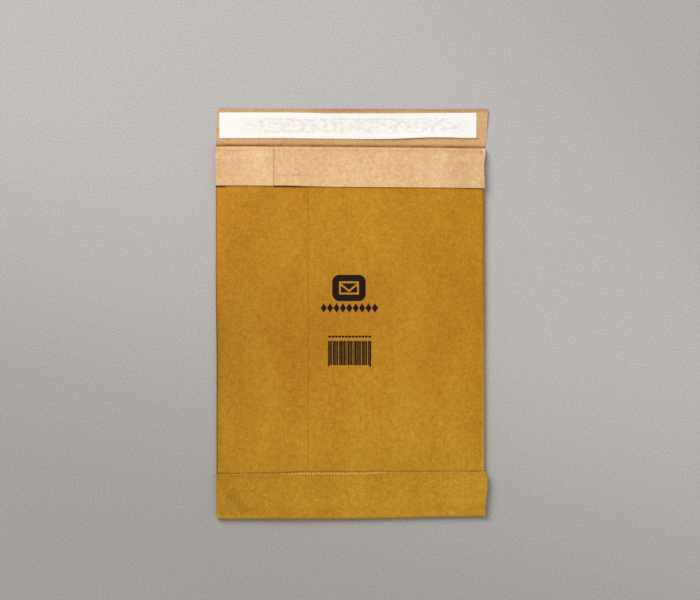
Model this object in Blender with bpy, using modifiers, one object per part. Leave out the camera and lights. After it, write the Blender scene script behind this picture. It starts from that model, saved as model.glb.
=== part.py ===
"""Padded envelope, empty and open, lying on its back panel with its front upwards.

A web of two kraft plies, with a blanket of paper fibre between them, is folded into a flat tube.
Its long edges lap on the front and are glued. The tube's lower end is pressed flat, folded up and
glued down as a turn-up. Its upper end is slit at both sides: the front half is folded out and down
as a cuff, and the back half goes on as the closing flap, with adhesive under a release liner.

X runs across the front, Y from the bottom fold to the flap, and Z up from the back panel.
"""

import math
from collections import namedtuple

import bmesh
import bpy
from mathutils import Vector

MM = 0.001

# The envelope seen from the front
BODY_WIDTH = 198.2 * MM
POCKET_LENGTH = 274.4 * MM
FLAP_LENGTH = 27.7 * MM
CUFF_DEPTH = 30.2 * MM
TURN_UP_DEPTH = 34.5 * MM
LAP_EDGE_FROM_LEFT = 68.2 * MM
LAP_WIDTH = 25.0 * MM

# How far each fold or edge is out of square, from the left side to the right
MOUTH_SKEW = 1.5 * MM
BOTTOM_SKEW = 1.9 * MM
FLAP_EDGE_SKEW = 0.6 * MM

# How far flattened ends stand out past the body, or in from it
BOTTOM_SPREAD = 0.9 * MM
TURN_UP_FLARE = 2.0 * MM
FLAP_LEFT_INSET = 0.7 * MM
FLAP_RIGHT_SPREAD = 0.9 * MM
FLAP_FLARE = 2.3 * MM
CUFF_LEFT_INSET = 0.4 * MM
CUFF_RIGHT_INSET = 2.4 * MM
CUFF_FLARE = 2.2 * MM

# What the walls are made of
PLY = 0.15 * MM
PADDING = 1.6 * MM
GLUE = 0.1 * MM
LINER = 0.15 * MM
GAP = 0.2 * MM

# How the pocket stands open
SIDE_OPENING = 0.8 * MM
CROWN = 4.0 * MM
CROWN_RISE = 52.0 * MM

# Lengths over which the sheets change level
WALL_RAMP = 8.0 * MM
LAP_RAMP = 4.0 * MM
LAP_FALL = 14.0 * MM
SPREAD_RUN = 20.0 * MM
FLATTEN_RUN = 6.0 * MM
SIDE_BAND = 28.0 * MM

# Margins of the inner pieces
PAD_MARGIN = 1.0 * MM
PAD_LAP_MARGIN = 3.0 * MM
SEAM_GLUE_MARGIN = 2.5 * MM
BAND_GLUE_MARGIN = 12.0 * MM
BAND_GLUE_EDGE = 3.0 * MM
BAND_GLUE_WIDTH = 16.0 * MM
PLY_EDGE_STEP = 0.5 * MM

# Release liner and adhesive on the flap
LINER_WIDTH = 18.3 * MM
LINER_TOP_MARGIN = 3.1 * MM
LINER_LEFT_MARGIN = 1.9 * MM
LINER_RIGHT_MARGIN = 10.4 * MM
ADHESIVE_INSET = 2.0 * MM

# How finely the folds and the crown are faceted
FOLD_STEPS = 6
RAMP_STEPS = 3
CROWN_STEPS = 4
FRONT_SPANS = 6
LEFT_SPANS = 3
EDGE_GRADING = 1.2
SHARP_ANGLE = math.radians(40)
SMALL_ANGLE = 0.01

# Sizes that follow from the ones above
HALF = BODY_WIDTH / 2
BOTTOM_Y = -(POCKET_LENGTH + FLAP_LENGTH) / 2
MOUTH_Y = BOTTOM_Y + POCKET_LENGTH
TOP_Y = MOUTH_Y + FLAP_LENGTH
TWO_PLY = 2 * PLY + GAP
PAD_ROOM = PADDING + GAP
GLUE_ROOM = GAP + GLUE + GAP
LAP_LIFT = TWO_PLY + GLUE_ROOM
LAP_RAISE = PAD_ROOM - LAP_LIFT
LAP_TOP_EDGE = -HALF + LAP_EDGE_FROM_LEFT
LAP_UNDER_EDGE = LAP_TOP_EDGE - LAP_WIDTH
BODY_SIDE = HALF - SIDE_OPENING / 2 - TWO_PLY - PAD_ROOM
QUARTER_BEND = (SIDE_OPENING / 2 + TWO_PLY) * math.pi / 2
LARGEST_BOTTOM_RADIUS = 2 * TWO_PLY + GAP + LAP_LIFT + GLUE_ROOM / 2
LARGEST_MOUTH_RADIUS = TWO_PLY + LAP_LIFT + GLUE_ROOM / 2
BOTTOM_WALL_START = LARGEST_BOTTOM_RADIUS + GAP
MOUTH_WALL_START = LARGEST_MOUTH_RADIUS + GAP
CROWN_START = BOTTOM_WALL_START + WALL_RAMP / 2

# One place round the tube, and one place along it
Column = namedtuple("Column", "panel x angle")
Row = namedtuple("Row", "part at flap_share")


def smooth(share):
    """Ease from 0 to 1."""
    share = min(1.0, max(0.0, share))
    return share * share * (3 - 2 * share)


def mix(first, second, share):
    """The value a share of the way from the first to the second."""
    return first + (second - first) * share


def bottom_line(x):
    """Y of the bottom fold's outermost line."""
    return BOTTOM_Y + BOTTOM_SKEW * x / BODY_WIDTH


def mouth_line(x):
    """Y of the mouth fold's outermost line."""
    return MOUTH_Y - MOUTH_SKEW * x / BODY_WIDTH


def flap_line(x):
    """Y of the flap's free edge."""
    return TOP_Y - FLAP_EDGE_SKEW * x / BODY_WIDTH


def mouth_fill(x, y):
    """Share of the padded wall's full thickness that the mouth leaves at a point."""
    return smooth((mouth_line(x) - y - MOUTH_WALL_START) / WALL_RAMP)


def wall_fill(x, y):
    """Share of the padded wall's full thickness at a point."""
    return smooth((y - bottom_line(x) - BOTTOM_WALL_START) / WALL_RAMP) * mouth_fill(x, y)


def lap_hump(x):
    """1 over the lap, easing to 0 on both sides of it."""
    left = smooth((x - LAP_UNDER_EDGE + LAP_RAMP + LAP_FALL) / LAP_FALL)
    right = smooth((LAP_TOP_EDGE + LAP_FALL - x) / LAP_FALL)
    return left * right


def back_height(x, y):
    """Height of the pocket's lower face."""
    return TWO_PLY + PAD_ROOM * wall_fill(x, y)


def side_opening(x, y):
    """Height of the pocket at its side bends."""
    growth = smooth((y - bottom_line(x) - BOTTOM_WALL_START) / WALL_RAMP)
    return mix(GAP, SIDE_OPENING, growth)


def opening(x, y):
    """Height of the pocket at a point: a flat-topped crown between the side bends."""
    rise = CROWN * smooth((y - bottom_line(x) - CROWN_START) / CROWN_RISE)
    rise += PAD_ROOM * (1 - mouth_fill(x, y))
    across = max(0.0, 1 - (x / BODY_SIDE) ** 4)
    return side_opening(x, y) + rise * across


def front_top(x, y):
    """Height of a smooth surface laid over the front panel, with the lap's plies below it."""
    fill = wall_fill(x, y)
    wall = TWO_PLY + PAD_ROOM * fill + LAP_LIFT * lap_hump(x) * (1 - fill)
    return back_height(x, y) + opening(x, y) + wall


def bottom_radius(x):
    """Radius of the bottom fold, measured to its outermost face."""
    return 2 * TWO_PLY + GAP + LAP_LIFT * lap_hump(x) + GLUE_ROOM / 2


def mouth_wall(x):
    """Thickness of the unpadded front wall at the mouth, under a smooth surface."""
    return TWO_PLY + LAP_LIFT * lap_hump(x)


def body_sides(y):
    """X of both side bends' centres at a station of the body."""
    sides = []
    for sign in (-1, 1):
        edge = HALF
        if sign > 0:
            edge += BOTTOM_SPREAD * (1 - smooth((y - bottom_line(HALF)) / SPREAD_RUN))
        x = sign * HALF
        wall = side_opening(x, y) / 2 + back_height(x, y)
        sides.append(sign * (edge - wall))
    return sides


def spread(x, sides):
    """X of a front or back point when the side bends move: only the bands beside them follow."""
    side, sign = (sides[0], -1) if x < 0 else (sides[1], 1)
    share = smooth((abs(x) - BODY_SIDE + SIDE_BAND) / SIDE_BAND)
    return x + (side - sign * BODY_SIDE) * share


def pocket(column, y, sides):
    """A point of the pocket's face and its outward direction, both as (across, up)."""
    if column.panel in ("left", "right"):
        sign = -1 if column.panel == "left" else 1
        x = sign * HALF
        radius = side_opening(x, y) / 2
        out = Vector((sign * math.cos(column.angle), math.sin(column.angle)))
        centre = Vector((sides[0] if sign < 0 else sides[1], back_height(x, y) + radius))
        return centre + out * radius, out
    x = spread(column.x, sides)
    if column.panel == "back":
        return Vector((x, back_height(x, y))), Vector((0, -1))
    return Vector((x, back_height(x, y) + opening(x, y))), Vector((0, 1))


def turned_up(column, row, depth_of, edge_step):
    """A point of the bottom fold, or of the turn-up that lies on the front."""
    x = column.x
    axis_y = bottom_line(x) + bottom_radius(x)
    sides = body_sides(axis_y)
    if row.part == "turn_up":
        sides[1] += TURN_UP_FLARE * row.at / TURN_UP_DEPTH
    point, out = pocket(column, axis_y, sides)
    across, height = point + out * depth_of(column, 0.0)
    radius = bottom_radius(x)
    if row.part == "bottom_fold":
        reach = radius - height
        y = axis_y - reach * math.sin(row.at)
        return Vector((across, y, radius - reach * math.cos(row.at)))
    y = bottom_line(x) + row.at
    if row.at == TURN_UP_DEPTH:
        y += edge_step(column)
    return Vector((across, y, front_top(x, y) + GLUE_ROOM / 2 + radius - height))


def cuffed(column, row, depth_of):
    """A point of the mouth fold, or of the cuff that lies on the front."""
    x = column.x
    wall = mouth_wall(x)
    radius = wall + GLUE_ROOM / 2
    axis_y = mouth_line(x) - radius
    start = body_sides(axis_y)
    folded = [CUFF_LEFT_INSET - HALF, HALF - CUFF_RIGHT_INSET]
    depth = depth_of(column, 0.0)
    if row.part == "mouth_fold":
        share = row.at / math.pi
        sides = [mix(a, b, share) for a, b in zip(start, folded)]
        point, out = pocket(column, axis_y, sides)
        reach = radius - depth
        y = axis_y + reach * math.sin(row.at)
        return Vector((point.x, y, point.y + radius - reach * math.cos(row.at)))
    y = mouth_line(x) - row.at
    folded[1] += CUFF_FLARE * row.at / CUFF_DEPTH
    across = spread(x, folded)
    return Vector((across, y, front_top(x, y) + GLUE_ROOM + wall - depth))


def flap_edges(share):
    """X of the flap's left and right edges, a share of the way from the mouth to its free edge."""
    return [FLAP_LEFT_INSET - HALF, HALF + FLAP_RIGHT_SPREAD + FLAP_FLARE * share]


def flapped(column, row, depth_of):
    """A point of the flap, where the side bends open out flat beyond the mouth."""
    x = column.x
    axis_y = mouth_line(x) - mouth_wall(x) - GLUE_ROOM / 2
    tube_point, tube_out = pocket(column, axis_y, body_sides(axis_y))
    left, right = flap_edges(row.flap_share)
    flat_sides = [left + QUARTER_BEND, right - QUARTER_BEND]
    if column.panel == "back":
        across = spread(x, flat_sides)
    else:
        turned = min(1.0, 1 + column.angle / (math.pi / 2))
        start, edge = (flat_sides[0], left) if column.panel == "left" else (flat_sides[1], right)
        across = mix(start, edge, turned)
    y = mix(axis_y, flap_line(x), row.flap_share)
    share = smooth((y - axis_y) / FLATTEN_RUN)
    point = tube_point.lerp(Vector((across, TWO_PLY)), share)
    out = tube_out.lerp(Vector((0, -1)), share).normalized()
    across, height = point + out * depth_of(column, 0.0)
    return Vector((across, y, height))


def in_body(column, row, depth_of):
    """A point of the tube between its two folds."""
    x = column.x
    y = bottom_line(x) + row.at if row.part == "lower_body" else mouth_line(x) - row.at
    point, out = pocket(column, y, body_sides(y))
    across, height = point + out * depth_of(column, wall_fill(x, y))
    return Vector((across, y, height))


def place(column, row, depth_of, edge_step):
    """Where one point of the flat web goes when the envelope is folded."""
    if row.part in ("turn_up", "bottom_fold"):
        return turned_up(column, row, depth_of, edge_step)
    if row.part in ("mouth_fold", "cuff"):
        if column.panel in ("over", "under"):
            return cuffed(column, row, depth_of)
        return flapped(column, row, depth_of)
    return in_body(column, row, depth_of)


def lap_share(column):
    """1 where the lap's two runs lie on each other, easing to 0 beside the lap."""
    if column.panel == "over":
        return smooth((column.x - LAP_UNDER_EDGE + LAP_RAMP) / LAP_RAMP)
    if column.panel == "under":
        return 1 - smooth((column.x - LAP_TOP_EDGE - GAP) / LAP_RAMP)
    return 0.0


def lap_level(column, fill):
    """How far the lap carries its runs outwards, so that its face is level with the padded wall."""
    lift = LAP_LIFT if column.panel == "over" else 0.0
    return lap_share(column) * (lift + LAP_RAISE * fill)


def inner_depth(column, fill):
    """Depth of the inner ply's middle, outwards from the pocket's face."""
    return PLY / 2 + lap_level(column, fill)


def outer_depth(column, fill):
    """Depth of the outer ply's middle, outwards from the pocket's face."""
    padding = PAD_ROOM * fill * (1 - lap_share(column))
    return PLY + GAP + PLY / 2 + lap_level(column, fill) + padding


def padding_depth(column, fill):
    """Depth of the padding's middle, between the two plies."""
    return PLY + GAP + PADDING / 2


def seam_depth(column, fill):
    """Depth of the seam's glue, between the lap's two runs."""
    return TWO_PLY + GAP + GLUE / 2 + LAP_RAISE * fill


def front_share(column):
    """0 on the back panel, 1 on the front, and between them round a side bend."""
    return (column.angle + math.pi / 2) / math.pi


def inner_step(column):
    """How far the inner ply's turned-up edge shows past the outer ply's."""
    return PLY_EDGE_STEP * (1 + front_share(column))


def outer_step(column):
    """How far the outer ply's own edge steps forward from the back panel to the front."""
    return 3 * PLY_EDGE_STEP * front_share(column)


def no_step(column):
    """A square end."""
    return 0.0


def front_line():
    """X of the columns that the front and the back share, from left to right."""
    left_start = LAP_UNDER_EDGE - LAP_RAMP - LAP_FALL
    left = [mix(-BODY_SIDE, left_start, (k / LEFT_SPANS) ** EDGE_GRADING) for k in range(LEFT_SPANS)]
    lap = [
        left_start,
        left_start + LAP_FALL / 2,
        LAP_UNDER_EDGE - LAP_RAMP,
        LAP_UNDER_EDGE,
        LAP_UNDER_EDGE + LAP_WIDTH / 2,
        LAP_TOP_EDGE + GAP,
        LAP_TOP_EDGE + GAP + LAP_RAMP,
        LAP_TOP_EDGE + LAP_FALL,
    ]
    right_start = LAP_TOP_EDGE + LAP_FALL
    right = []
    for k in range(1, FRONT_SPANS + 1):
        right.append(mix(right_start, BODY_SIDE, math.sin(k / FRONT_SPANS * math.pi / 2)))
    return left + lap + right


def clipped(values, low, high):
    """The values between two limits, with the limits themselves at the ends."""
    return [low] + [value for value in values if low < value < high] + [high]


def web_columns(over_end, under_end):
    """Columns round the tube, from one x on the lap's upper run to one on its lower run."""
    line = front_line()
    up = math.pi / 2
    columns = [Column("over", x, up) for x in reversed(clipped(line, -BODY_SIDE, over_end))]
    for k in range(1, FOLD_STEPS):
        columns.append(Column("left", -HALF, up - math.pi * k / FOLD_STEPS))
    columns += [Column("back", x, -up) for x in line]
    for k in range(1, FOLD_STEPS):
        columns.append(Column("right", HALF, -up + math.pi * k / FOLD_STEPS))
    columns += [Column("under", x, up) for x in reversed(clipped(line, under_end, BODY_SIDE))]
    return columns


def ramp_stations(start):
    """Stations over one wall ramp."""
    return [start + WALL_RAMP * k / RAMP_STEPS for k in range(RAMP_STEPS + 1)]


def lower_stations():
    """Distances above the bottom fold at which the body is divided."""
    crown = [CROWN_START + CROWN_RISE * k / CROWN_STEPS for k in range(1, CROWN_STEPS + 1)]
    return sorted(ramp_stations(BOTTOM_WALL_START) + crown + [TURN_UP_DEPTH])


def upper_stations():
    """Distances below the mouth at which the body and the cuff are divided."""
    return sorted(ramp_stations(MOUTH_WALL_START) + [CUFF_DEPTH])


def body_rows():
    """Rows of the tube between its two folds."""
    rows = [Row("lower_body", at, 0.0) for at in lower_stations()]
    rows += [Row("upper_body", at, 0.0) for at in reversed(upper_stations())]
    return rows


def web_rows(end_margin):
    """Rows along the whole web, from the turn-up's edge to the cuff's and the flap's."""
    turned = clipped(lower_stations(), BOTTOM_WALL_START, TURN_UP_DEPTH - end_margin)
    rows = [Row("turn_up", at, 0.0) for at in reversed(turned)]
    for k in reversed(range(FOLD_STEPS + 1)):
        rows.append(Row("bottom_fold", math.pi * k / FOLD_STEPS, 0.0))
    rows += body_rows()
    beyond = [("mouth_fold", math.pi * k / FOLD_STEPS) for k in range(FOLD_STEPS + 1)]
    cuff = clipped(upper_stations(), MOUTH_WALL_START, CUFF_DEPTH - end_margin)
    beyond += [("cuff", at) for at in cuff]
    last = len(beyond) - 1
    rows += [Row(part, at, k / last) for k, (part, at) in enumerate(beyond)]
    return rows


def in_slit(cell_columns, cell_rows):
    """Whether one cell of the web lies where the sides are cut open beyond the mouth."""
    beyond = all(row.part in ("mouth_fold", "cuff") for row in cell_rows)
    forward = all(column.angle > -SMALL_ANGLE for column in cell_columns)
    beside = any(column.panel in ("left", "right") for column in cell_columns)
    return beyond and forward and beside


def finish(name, shape, thickness, material):
    """Make an object of a sheet's middle surface and give it its thickness."""
    mesh = bpy.data.meshes.new(name)
    shape.to_mesh(mesh)
    shape.free()
    mesh.materials.append(material)
    mesh.shade_smooth()
    mesh.set_sharp_from_angle(angle=SHARP_ANGLE)
    piece = bpy.data.objects.new(name, mesh)
    envelope.objects.link(piece)
    wall = piece.modifiers.new("thickness", "SOLIDIFY")
    wall.thickness = thickness
    wall.offset = 0
    wall.use_even_offset = True


def grid(columns, rows, place_of):
    """A sheet of cells, each corner of which a function of its column and its row places."""
    shape = bmesh.new()
    bmesh.ops.create_grid(shape, x_segments=len(columns) - 1, y_segments=len(rows) - 1, size=0.5)
    homes = {}
    for vertex in shape.verts:
        column = columns[round((vertex.co.x + 0.5) * (len(columns) - 1))]
        row = rows[round((vertex.co.y + 0.5) * (len(rows) - 1))]
        homes[vertex] = (column, row)
    for vertex, (column, row) in homes.items():
        vertex.co = place_of(column, row)
    return shape, homes


def folded_sheet(name, columns, rows, depth_of, edge_step, thickness, material):
    """One sheet of the web, folded, with its sides slit beyond the mouth."""
    def place_of(column, row):
        return place(column, row, depth_of, edge_step)

    shape, homes = grid(columns, rows, place_of)
    cut = []
    for face in shape.faces:
        corners = [homes[vertex] for vertex in face.verts]
        if in_slit([corner[0] for corner in corners], [corner[1] for corner in corners]):
            cut.append(face)
    bmesh.ops.delete(shape, geom=cut, context="FACES")
    finish(name, shape, thickness, material)


def front_band(name, stations, material):
    """A band of glue on the front panel, under the cuff or the turn-up."""
    columns = clipped(front_line(), BAND_GLUE_MARGIN - HALF, HALF - BAND_GLUE_MARGIN)

    def place_of(x, station):
        y = station(x)
        return Vector((x, y, front_top(x, y) + GAP + GLUE / 2))

    finish(name, grid(columns, stations, place_of)[0], GLUE, material)


def flap_strip(name, inset, height, thickness, material):
    """A strip along the flap: the liner's outline, drawn in by an inset."""
    left, right = flap_edges(1.0)
    left += LINER_LEFT_MARGIN + inset
    right -= LINER_RIGHT_MARGIN + inset
    top = TOP_Y - LINER_TOP_MARGIN

    def place_of(x, y):
        return Vector((x, y, height + thickness / 2))

    shape = grid([left, right], [top - LINER_WIDTH + inset, top - inset], place_of)[0]
    finish(name, shape, thickness, material)


def surface(name, colour, roughness):
    """A material of one colour."""
    material = bpy.data.materials.new(name)
    material.use_nodes = True
    shader = material.node_tree.nodes["Principled BSDF"]
    shader.inputs["Base Color"].default_value = (*colour, 1.0)
    shader.inputs["Roughness"].default_value = roughness
    shader.inputs["Metallic"].default_value = 0.0
    return material


def build_web():
    """The two plies and the padding between them."""
    golden = surface("golden_kraft", (0.52, 0.25, 0.02), 0.75)
    natural = surface("natural_kraft", (0.62, 0.42, 0.24), 0.85)
    fibre = surface("paper_fibre", (0.45, 0.42, 0.38), 0.95)
    plies = web_columns(LAP_TOP_EDGE, LAP_UNDER_EDGE)
    rows = web_rows(0.0)
    folded_sheet("outer_ply", plies, rows, outer_depth, outer_step, PLY, golden)
    folded_sheet("inner_ply", plies, rows, inner_depth, inner_step, PLY, natural)
    pad_over = LAP_UNDER_EDGE - LAP_RAMP - PAD_LAP_MARGIN
    pad_under = LAP_TOP_EDGE + GAP + LAP_RAMP + PAD_LAP_MARGIN
    low = BOTTOM_WALL_START + WALL_RAMP + PAD_MARGIN
    high = MOUTH_WALL_START + WALL_RAMP + PAD_MARGIN
    pad_rows = [Row("lower_body", at, 0.0) for at in clipped(lower_stations(), low, math.inf)[:-1]]
    pad_rows += [Row("upper_body", at, 0.0) for at in (CUFF_DEPTH, high)]
    pad = web_columns(pad_over, pad_under)
    folded_sheet("fibre_padding", pad, pad_rows, padding_depth, no_step, PADDING, fibre)


def build_glue():
    """The seam's glue, and the bands that hold the turn-up and the cuff down."""
    glue = surface("dried_glue", (0.70, 0.62, 0.48), 0.4)
    low = LAP_UNDER_EDGE + SEAM_GLUE_MARGIN
    high = LAP_TOP_EDGE - SEAM_GLUE_MARGIN
    seam = [Column("over", x, math.pi / 2) for x in clipped(front_line(), low, high)]
    rows = web_rows(SEAM_GLUE_MARGIN)
    folded_sheet("seam_glue", seam, rows, seam_depth, no_step, GLUE, glue)

    def above_fold(at):
        return lambda x: bottom_line(x) + at

    def below_mouth(at):
        return lambda x: mouth_line(x) - at

    end = TURN_UP_DEPTH - BAND_GLUE_EDGE
    stations = clipped(lower_stations(), end - BAND_GLUE_WIDTH, end)
    front_band("bottom_glue", [above_fold(at) for at in stations], glue)
    end = CUFF_DEPTH - BAND_GLUE_EDGE
    stations = clipped(upper_stations(), end - BAND_GLUE_WIDTH, end)
    front_band("cuff_glue", [below_mouth(at) for at in reversed(stations)], glue)


def build_closure():
    """The adhesive on the flap and the liner that covers it."""
    adhesive = surface("seal_adhesive", (0.86, 0.84, 0.78), 0.25)
    liner = surface("liner_paper", (0.93, 0.92, 0.90), 0.35)
    height = TWO_PLY + GAP
    flap_strip("seal_adhesive", ADHESIVE_INSET, height, GLUE, adhesive)
    flap_strip("release_liner", 0.0, height + GLUE + GAP, LINER, liner)


for thing in list(bpy.data.objects):
    bpy.data.objects.remove(thing)
envelope = bpy.data.collections.new("padded_envelope")
bpy.context.scene.collection.children.link(envelope)
build_web()
build_glue()
build_closure()
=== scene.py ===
"""Looks of a padded envelope: fine paper sheets, padding, liner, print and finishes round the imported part."""

import math
from collections import namedtuple

import bmesh
import bpy
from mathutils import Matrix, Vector, noise

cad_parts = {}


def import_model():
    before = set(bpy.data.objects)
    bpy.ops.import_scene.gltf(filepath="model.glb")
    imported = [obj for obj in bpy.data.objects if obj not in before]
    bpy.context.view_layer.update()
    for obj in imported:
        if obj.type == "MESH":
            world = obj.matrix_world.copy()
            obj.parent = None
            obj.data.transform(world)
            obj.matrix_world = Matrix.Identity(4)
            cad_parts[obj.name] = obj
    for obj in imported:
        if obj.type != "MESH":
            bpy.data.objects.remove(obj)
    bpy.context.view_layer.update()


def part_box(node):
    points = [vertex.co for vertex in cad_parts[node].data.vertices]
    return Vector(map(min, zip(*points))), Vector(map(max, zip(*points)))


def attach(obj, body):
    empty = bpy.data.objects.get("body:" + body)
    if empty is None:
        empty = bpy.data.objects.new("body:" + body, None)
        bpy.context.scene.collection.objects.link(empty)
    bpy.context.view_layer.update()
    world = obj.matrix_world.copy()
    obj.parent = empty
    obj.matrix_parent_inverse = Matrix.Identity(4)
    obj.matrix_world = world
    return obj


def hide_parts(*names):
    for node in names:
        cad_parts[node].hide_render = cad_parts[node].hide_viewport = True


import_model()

MM = 0.001

# The envelope seen from the front, as in the part
BODY_WIDTH = 198.2 * MM
POCKET_LENGTH = 274.4 * MM
FLAP_LENGTH = 27.7 * MM
CUFF_DEPTH = 29.3 * MM
TURN_UP_DEPTH = 34.5 * MM
LAP_EDGE_FROM_LEFT = 68.2 * MM
LAP_WIDTH = 25.0 * MM

# How far each fold or edge is out of square
MOUTH_DROP = 0.9 * MM
MOUTH_SKEW = 1.5 * MM
FLAP_EDGE_SKEW = 0.6 * MM
BOTTOM_DROP = 0.55 * MM
BOTTOM_RISE = 1.7 * MM
BOTTOM_RISE_FROM = -15.0 * MM
BOTTOM_RISE_RUN = 110.0 * MM

# How far flattened ends stand out past the body, or in from it
BOTTOM_SPREAD = 0.9 * MM
TURN_UP_FLARE = 2.0 * MM
FLAP_LEFT_INSET = 0.3 * MM
FLAP_RIGHT_SPREAD = 0.8 * MM
FLAP_FLARE = 1.9 * MM
CUFF_LEFT_INSET = -0.1 * MM
CUFF_RIGHT_SPREAD = 0.45 * MM
FLAP_LEFT_SLANT = 1.6 * MM
CORNER_ROUNDING = 0.8 * MM

# Walls, with plies as thin as the real ones and the padding filling the rest
PLY = 0.10 * MM
GAP = 0.03 * MM
GLUE = 0.03 * MM
WALL = 2.3 * MM
LINER = 0.09 * MM

# How the pocket stands open
SIDE_OPENING = 0.8 * MM
CROWN = 4.0 * MM
CROWN_RISE = 52.0 * MM

# Lengths over which the sheets change level
WALL_RAMP = 8.0 * MM
LAP_RAMP = 4.0 * MM
LAP_FALL = 14.0 * MM
SPREAD_RUN = 20.0 * MM
FLATTEN_RUN = 6.0 * MM
SIDE_BAND = 28.0 * MM
BOTTOM_WALL_START = 2.6 * MM
BOTTOM_RAMP = 8.0 * MM
MOUTH_WALL_START = 2.6 * MM
SLIT_FROM = 0.966
LINER_LOW = 129.25 * MM

# Spacing of the fine sheets' rows and columns
FRONT_STEP = 2.0 * MM
BACK_STEP = 4.0 * MM
ROW_STEP = 2.4 * MM
STRIP_STEP = 1.2 * MM
PRINT_STEP = 2.0 * MM
FOLD_STEPS = 12

# Strongest painted shade in the gaps under a lifted edge
DARKEST_GAP = 0.97

# Pinked edge of the turn-up
TOOTH_PITCH = 2.2 * MM
TOOTH_DEPTH = 1.3 * MM
TOOTH_CUT = 0.55 * MM

# Where the padding stops short of the lap, and the glue bands of an edge
PAD_FROM_LAP = 3 * MM
PAD_FROM_BOTTOM = 12 * MM
PAD_FROM_MOUTH = 11 * MM
BAND_WIDTH = 16 * MM
BAND_FROM_EDGE = 3 * MM
BAND_FROM_SIDE = 12 * MM
SEAM_FROM_EDGE = 2.5 * MM
LINER_EXTRA = 1.2 * MM
ADHESIVE_INSET = 2 * MM

# Print: its thickness, and how its block of bars runs, in units of its narrowest gap,
# with the first and the last bar a little longer
INK = 0.01 * MM
BAR_UNITS = 95
BAR_RHYTHM = (2, 1, 3, 1, 2, 2, 4, 1, 2, 1, 3, 2, 2, 1, 4, 1)
BAR_SPREAD = 0.35
END_DROP = 1.2 * MM

HALF = BODY_WIDTH / 2
BOTTOM_Y = -(POCKET_LENGTH + FLAP_LENGTH) / 2
MOUTH_Y = BOTTOM_Y + POCKET_LENGTH
TOP_Y = MOUTH_Y + FLAP_LENGTH
TWO_PLY = 2 * PLY + GAP
PAD_ROOM = WALL - TWO_PLY
PADDING = PAD_ROOM - GAP
FOLD_SPRING = PAD_ROOM
MOUTH_SPRING = PAD_ROOM / 2
GLUE_ROOM = GAP + GLUE + GAP
LAP_LIFT = TWO_PLY + GLUE_ROOM
LAP_RAISE = PAD_ROOM - LAP_LIFT
LAP_TOP_EDGE = -HALF + LAP_EDGE_FROM_LEFT
LAP_UNDER_EDGE = LAP_TOP_EDGE - LAP_WIDTH
BODY_SIDE = HALF - SIDE_OPENING / 2 - WALL
QUARTER_BEND = (SIDE_OPENING / 2 + TWO_PLY) * math.pi / 2
CROWN_START = BOTTOM_WALL_START + BOTTOM_RAMP / 2

Column = namedtuple("Column", "panel x angle")
Row = namedtuple("Row", "part at flap_share")


def smooth(share):
    """Ease from 0 to 1."""
    share = min(1.0, max(0.0, share))
    return share * share * (3 - 2 * share)


def mix(first, second, share):
    """The value a share of the way from the first to the second."""
    return first + (second - first) * share


def past(x, place, run):
    """0 up to a place, easing to 1 over a run past it, both in millimetres."""
    return smooth((x - place * MM) / (run * MM))


def before(x, place, run):
    """0 from a place on, easing to 1 over a run before it, both in millimetres."""
    return smooth((place * MM - x) / (run * MM))


def fade(distance, reach):
    """1 at a line, easing to 0 at a distance from it on either side."""
    return 1 - smooth(abs(distance) / reach)


def near(x, place, reach):
    """1 at a place, easing to 0 at a reach on either side, both in millimetres."""
    return fade(x - place * MM, reach * MM)


def ripple(x, y, size, seed):
    """Smooth noise from -1 to 1, with features of about the given size in millimetres."""
    scale = size * MM
    return noise.noise(Vector((x / scale, y / scale, seed)))


def bottom_line(x):
    """Y of the bottom fold's outermost line, which rises to the right."""
    rise = BOTTOM_RISE * smooth((x - BOTTOM_RISE_FROM) / BOTTOM_RISE_RUN)
    return BOTTOM_Y - BOTTOM_DROP + rise


def turn_up_line(x):
    """Y of the turn-up's cut edge, which sags towards its left end."""
    sag = 1.5 * MM * before(x, 32, 20) + 0.15 * MM * before(x, -50, 40)
    return BOTTOM_Y + TURN_UP_DEPTH - sag


def turn_up_top(x):
    """Y of the highest edge of the turn-up, of whichever ply shows past the other."""
    return turn_up_line(x) + max(0.0, inner_show(x))


def inner_show(x):
    """How far the inner ply shows past the outer one: most in the middle, a little at the right."""
    middle = past(x, -61, 26) * before(x, 30, 14)
    right = past(x, 10, 12)
    left = past(x, -88, 8) * before(x, -54, 8)
    return (-0.2 + 1.5 * middle + 0.25 * right + 0.4 * left) * MM


def mouth_line(x):
    """Y of the mouth fold's outermost line."""
    return MOUTH_Y - MOUTH_DROP - MOUTH_SKEW * x / BODY_WIDTH


def cuff_line(x):
    """Y of the cuff's cut edge, which is a little higher at the left, most where the lap ends."""
    raised = 0.5 * before(x, -10, 35)
    raised += 0.2 * past(x - LAP_UNDER_EDGE, 0, 1) * before(x, -35, 12)
    return mouth_line(x) - CUFF_DEPTH + raised * MM


def flap_line(x):
    """Y of the flap's free edge."""
    return TOP_Y - FLAP_EDGE_SKEW * x / BODY_WIDTH


def liner_wave(x, share):
    """How far the liner's lower edge, at share 0, and its upper one, at 1, stray from straight."""
    low = 0.18 - 0.6 * past(x, -60, 75) + 1.15 * past(x, 25, 38)
    low -= 0.4 * past(x, 68, 18)
    top = 0.4 - 0.65 * past(x, -50, 40) + 0.3 * past(x, 35, 30)
    return mix(low, top, share) * MM


def mouth_fill(x, y):
    """Share of the padded wall's full thickness that the mouth leaves at a point."""
    return smooth((mouth_line(x) - y - MOUTH_WALL_START) / WALL_RAMP)


def wall_fill(x, y):
    """Share of the padded wall's full thickness at a point."""
    return smooth((y - bottom_line(x) - BOTTOM_WALL_START) / BOTTOM_RAMP) * mouth_fill(x, y)


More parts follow.
